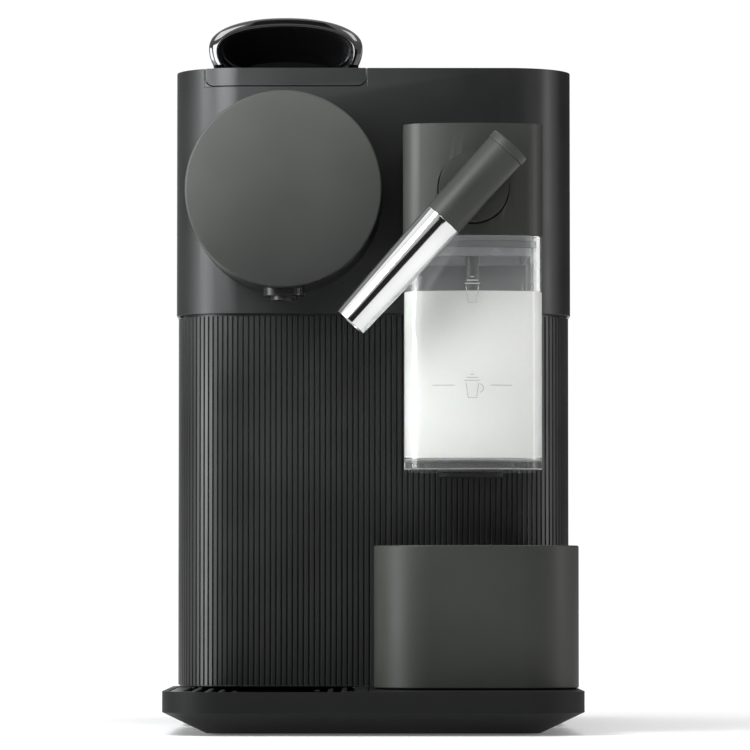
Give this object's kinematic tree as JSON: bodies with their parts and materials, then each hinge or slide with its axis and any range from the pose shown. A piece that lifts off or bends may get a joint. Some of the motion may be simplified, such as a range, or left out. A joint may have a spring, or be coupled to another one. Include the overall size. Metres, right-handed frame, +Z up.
{
  "type": "pod coffee machine",
  "caption": "Slim pod coffee machine with a ribbed casing, a capsule lever, a round coffee head, a clip-on milk jug with a swinging spout, a capsule bin, a drip tray and a rear water tank.",
  "frame": {"origin": "on the table under the middle of the machine's footprint", "axes": "+X to the machine's right as seen from the front, +Y to the back, +Z up"},
  "size_m": [0.154, 0.324, 0.2746],
  "materials": {
    "charcoal_plastic": "fine satin texture, ribbed on the lower casing",
    "black_plastic": "satin black",
    "warm_grey_plastic": "satin warm grey",
    "white_plastic": "natural",
    "gloss_black": "piano black",
    "clear_plastic": "clear polycarbonate",
    "smoked_tank": "lightly smoked clear plastic",
    "chrome": "polished",
    "steel": "plain",
    "cast_aluminium": "as cast",
    "rubber": "matte",
    "silicone": "milky",
    "circuit_board": "green solder mask"
  },
  "bodies": {
    "machine": {"rubber_feet": "rubber", "base_chassis": "black_plastic", "lower_housing": "charcoal_plastic", "upper_housing": "charcoal_plastic", "top_panel": "charcoal_plastic", "rear_cover": "charcoal_plastic", "casing_screws": "steel", "cord_gland": "rubber", "coffee_head": "black_plastic", "head_disc": "warm_grey_plastic", "coffee_outlet": "black_plastic", "outlet_nozzle": "black_plastic", "coffee_channel": "white_plastic", "steam_connector": "black_plastic", "jug_rest": "black_plastic", "brew_frame": "cast_aluminium", "capsule_cage": "black_plastic", "capsule_chute": "black_plastic", "internal_frame": "black_plastic", "thermoblock": "cast_aluminium", "steam_valve": "steel", "pump": "steel", "pump_mounts": "rubber", "flow_meter": "white_plastic", "control_board": "circuit_board", "button_board": "circuit_board", "tank_valve_seat": "rubber", "water_hoses": "silicone", "steam_hose": "silicone"},
    "lever": {"lever_plate": "charcoal_plastic", "lever_handle": "gloss_black", "lever_axle": "steel", "lever_cams": "cast_aluminium"},
    "carriage": {"brew_carriage": "white_plastic", "piercing_plate": "steel", "carriage_pins": "steel"},
    "espresso_button": {"button_espresso": "black_plastic"},
    "lungo_button": {"button_lungo": "black_plastic"},
    "milk_button": {"button_milk": "black_plastic"},
    "milk_unit": {"milk_lid": "warm_grey_plastic", "lid_base": "warm_grey_plastic", "lid_seal": "silicone", "froth_chamber": "black_plastic", "suction_tube": "black_plastic"},
    "jug": {"milk_jug": "clear_plastic", "jug_foot": "rubber"},
    "latch": {"lid_latch": "black_plastic"},
    "spout": {"spout_body": "warm_grey_plastic", "spout_cap": "warm_grey_plastic", "spout_sleeve": "chrome", "spout_liner": "black_plastic"},
    "tray": {"drip_tray": "black_plastic"},
    "grid": {"drip_grid": "black_plastic"},
    "bin": {"capsule_bin": "warm_grey_plastic"},
    "tank": {"water_tank": "smoked_tank", "tank_valve": "black_plastic"},
    "lid_of_tank": {"tank_lid": "charcoal_plastic"}
  },
  "joints": [
    {"name": "lever_hinge", "type": "hinge", "parent": "machine", "child": "lever", "pos_m": [-0.034, 0.056, 0.244], "axis": [-1, 0, 0], "range_deg": [0, 85]},
    {"name": "carriage_slide", "type": "slide", "parent": "machine", "child": "carriage", "axis": [0, -1, 0], "range_m": [0, 0.0301]},
    {"name": "espresso_press", "type": "slide", "parent": "machine", "child": "espresso_button", "axis": [0, 0, -1], "range_m": [0, 0.0012], "stiffness_N_per_m": 800},
    {"name": "lungo_press", "type": "slide", "parent": "machine", "child": "lungo_button", "axis": [0, 0, -1], "range_m": [0, 0.0012], "stiffness_N_per_m": 800},
    {"name": "milk_press", "type": "slide", "parent": "machine", "child": "milk_button", "axis": [0, 0, -1], "range_m": [0, 0.0012], "stiffness_N_per_m": 800},
    {"name": "milk_unit_pull", "type": "slide", "parent": "machine", "child": "milk_unit", "axis": [0, -1, 0], "range_m": [0, 0.06]},
    {"name": "jug_lower", "type": "slide", "parent": "milk_unit", "child": "jug", "axis": [0, 0, -1], "range_m": [0, 0.024]},
    {"name": "latch_press", "type": "slide", "parent": "milk_unit", "child": "latch", "axis": [1, 0, 0], "range_m": [0, 0.0012], "stiffness_N_per_m": 800},
    {"name": "spout_swing", "type": "hinge", "parent": "milk_unit", "child": "spout", "pos_m": [0.0373, -0.12, 0.2024], "axis": [0, 1, 0], "range_deg": [-42, 30]},
    {"name": "tray_pull", "type": "slide", "parent": "machine", "child": "tray", "axis": [0, -1, 0], "range_m": [0, 0.12]},
    {"name": "grid_lift", "type": "slide", "parent": "tray", "child": "grid", "axis": [0, 0, 1], "range_m": [0, 0.03]},
    {"name": "bin_pull", "type": "slide", "parent": "tray", "child": "bin", "axis": [0, -1, 0], "range_m": [0, 0.09]},
    {"name": "tank_lift", "type": "slide", "parent": "machine", "child": "tank", "axis": [0, 0, 1], "range_m": [0, 0.06]},
    {"name": "tank_lid_lift", "type": "slide", "parent": "tank", "child": "lid_of_tank", "axis": [0, 0, 1], "range_m": [0, 0.03]}
  ],
  "couplings": [
    {"joint": "carriage_slide", "follows": "lever_hinge", "m_per_rad": 0.020222}
  ]
}
